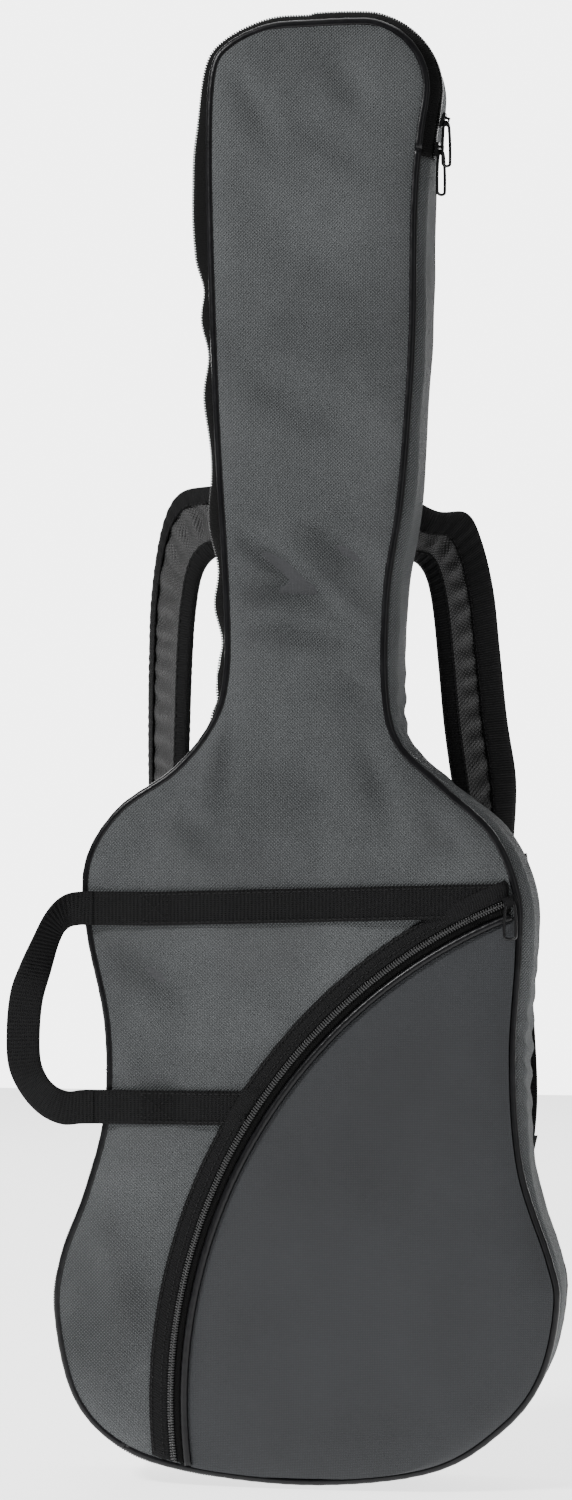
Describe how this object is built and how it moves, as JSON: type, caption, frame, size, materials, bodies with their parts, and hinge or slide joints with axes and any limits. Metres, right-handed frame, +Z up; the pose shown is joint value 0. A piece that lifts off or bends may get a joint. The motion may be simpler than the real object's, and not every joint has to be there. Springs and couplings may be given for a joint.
{
  "type": "padded gig bag",
  "caption": "Padded gig bag for an electric guitar: zipped front flap, curved zip pocket, webbing carry handle and two backpack straps.",
  "frame": {"origin": "rest point on the back panel's outer face, on the centre line at waist height", "axes": "+Z up along the bag towards the head, -Y out of the front panel, +X to the right as seen from the front"},
  "size_m": [0.3893, 0.1321, 1.0259],
  "materials": {
    "grey_polyester": "woven",
    "pocket_polyester": "woven",
    "lining": "satin",
    "foam": "matte",
    "piping": "semi-gloss",
    "black_tape": "woven tape",
    "black_webbing": "ribbed webbing",
    "spacer_mesh": "mesh",
    "zip_coil": "satin",
    "lock_plastic": "satin",
    "slider_metal": "satin"
  },
  "bodies": {
    "shell": {"back_outer": "grey_polyester", "back_foam": "foam", "back_lining": "lining", "rear_piping": "piping", "gusset_plain": "grey_polyester", "gusset_zip_strip": "grey_polyester", "zip_tape_rear": "black_tape", "zip_coil_rear": "zip_coil", "gusset_foam": "foam", "gusset_lining": "lining", "front_outer": "grey_polyester", "front_foam": "foam", "front_lining": "lining", "front_piping": "piping", "zip_closed_top": "black_tape", "zip_closed_bottom": "black_tape", "pocket_tape_outer": "black_tape", "pocket_coil": "zip_coil", "pocket_tape_inner": "black_tape", "pocket_piping": "piping", "pocket_panel": "pocket_polyester", "handle_end_upper": "black_webbing", "strap_anchor_patch": "black_webbing", "strap_tab_left": "black_webbing", "strap_tab_right": "black_webbing"},
    "flap": {"flap_outer": "grey_polyester", "flap_foam": "foam", "flap_lining": "lining", "flap_piping": "piping", "zip_tape_front": "black_tape", "zip_coil_front": "zip_coil", "handle_run_upper": "black_webbing", "handle_run_lower": "black_webbing"},
    "handle": {"handle_loop": "black_webbing"},
    "strap_left": {"strap_left_foam": "foam", "strap_left_mesh": "spacer_mesh", "strap_left_outer": "grey_polyester", "strap_left_binding_outer": "black_tape", "strap_left_binding_inner": "black_tape", "strap_left_ladder_lock": "lock_plastic", "strap_left_webbing": "black_webbing", "strap_left_tail": "black_webbing"},
    "strap_right": {"strap_right_foam": "foam", "strap_right_mesh": "spacer_mesh", "strap_right_outer": "grey_polyester", "strap_right_binding_outer": "black_tape", "strap_right_binding_inner": "black_tape", "strap_right_ladder_lock": "lock_plastic", "strap_right_webbing": "black_webbing", "strap_right_tail": "black_webbing"},
    "slider_upper": {"main_slider_upper": "slider_metal"},
    "pull_upper": {"main_pull_upper": "slider_metal"},
    "slider_lower": {"main_slider_lower": "slider_metal"},
    "pull_lower": {"main_pull_lower": "slider_metal"},
    "slider_pocket": {"pocket_slider": "slider_metal"},
    "pull_pocket": {"pocket_pull": "slider_metal"}
  },
  "joints": [
    {"name": "flap_fold", "type": "hinge", "parent": "shell", "child": "flap", "pos_m": [-0.135, -0.0772, -0.33], "axis": [0.2238, 0, 0.9746], "range_deg": [0, 110]},
    {"name": "handle_swing", "type": "hinge", "parent": "flap", "child": "handle", "pos_m": [-0.157, -0.0763, -0.07], "axis": [0, 0, 1], "range_deg": [-40, 80]},
    {"name": "strap_right_swing", "type": "hinge", "parent": "shell", "child": "strap_right", "pos_m": [0.048, 0.006, 0.34], "axis": [-0.2141, -0.0156, 0.9767], "range_deg": [-5, 85]},
    {"name": "strap_left_swing", "type": "hinge", "parent": "shell", "child": "strap_left", "pos_m": [-0.048, 0.006, 0.34], "axis": [0.2141, -0.0156, 0.9767], "range_deg": [-85, 5]},
    {"name": "slider_upper_run", "type": "hinge", "parent": "shell", "child": "slider_upper", "pos_m": [0.036, -0.0569, 0.637], "axis": [0, -1, 0], "range_deg": [0, 103]},
    {"name": "pull_upper_swing", "type": "hinge", "parent": "slider_upper", "child": "pull_upper", "pos_m": [0.09511, -0.0569, 0.61549], "axis": [0, -1, 0], "range_deg": [0, 140]},
    {"name": "slider_lower_run", "type": "slide", "parent": "shell", "child": "slider_lower", "axis": [0.0982, 0, 0.9952], "range_m": [0, 0.005]},
    {"name": "pull_lower_swing", "type": "hinge", "parent": "slider_lower", "child": "pull_lower", "pos_m": [0.09137, -0.0569, 0.59558], "axis": [0, -1, 0], "range_deg": [0, 8]},
    {"name": "pocket_slider_run", "type": "hinge", "parent": "shell", "child": "slider_pocket", "pos_m": [0.2794, -0.0774, -0.2744], "axis": [0, -1, 0], "range_deg": [0, 68]},
    {"name": "pocket_pull_swing", "type": "hinge", "parent": "slider_pocket", "child": "pull_pocket", "pos_m": [0.14185, -0.0822, 0.07479], "axis": [0, -1, 0], "range_deg": [-55, 55]}
  ]
}
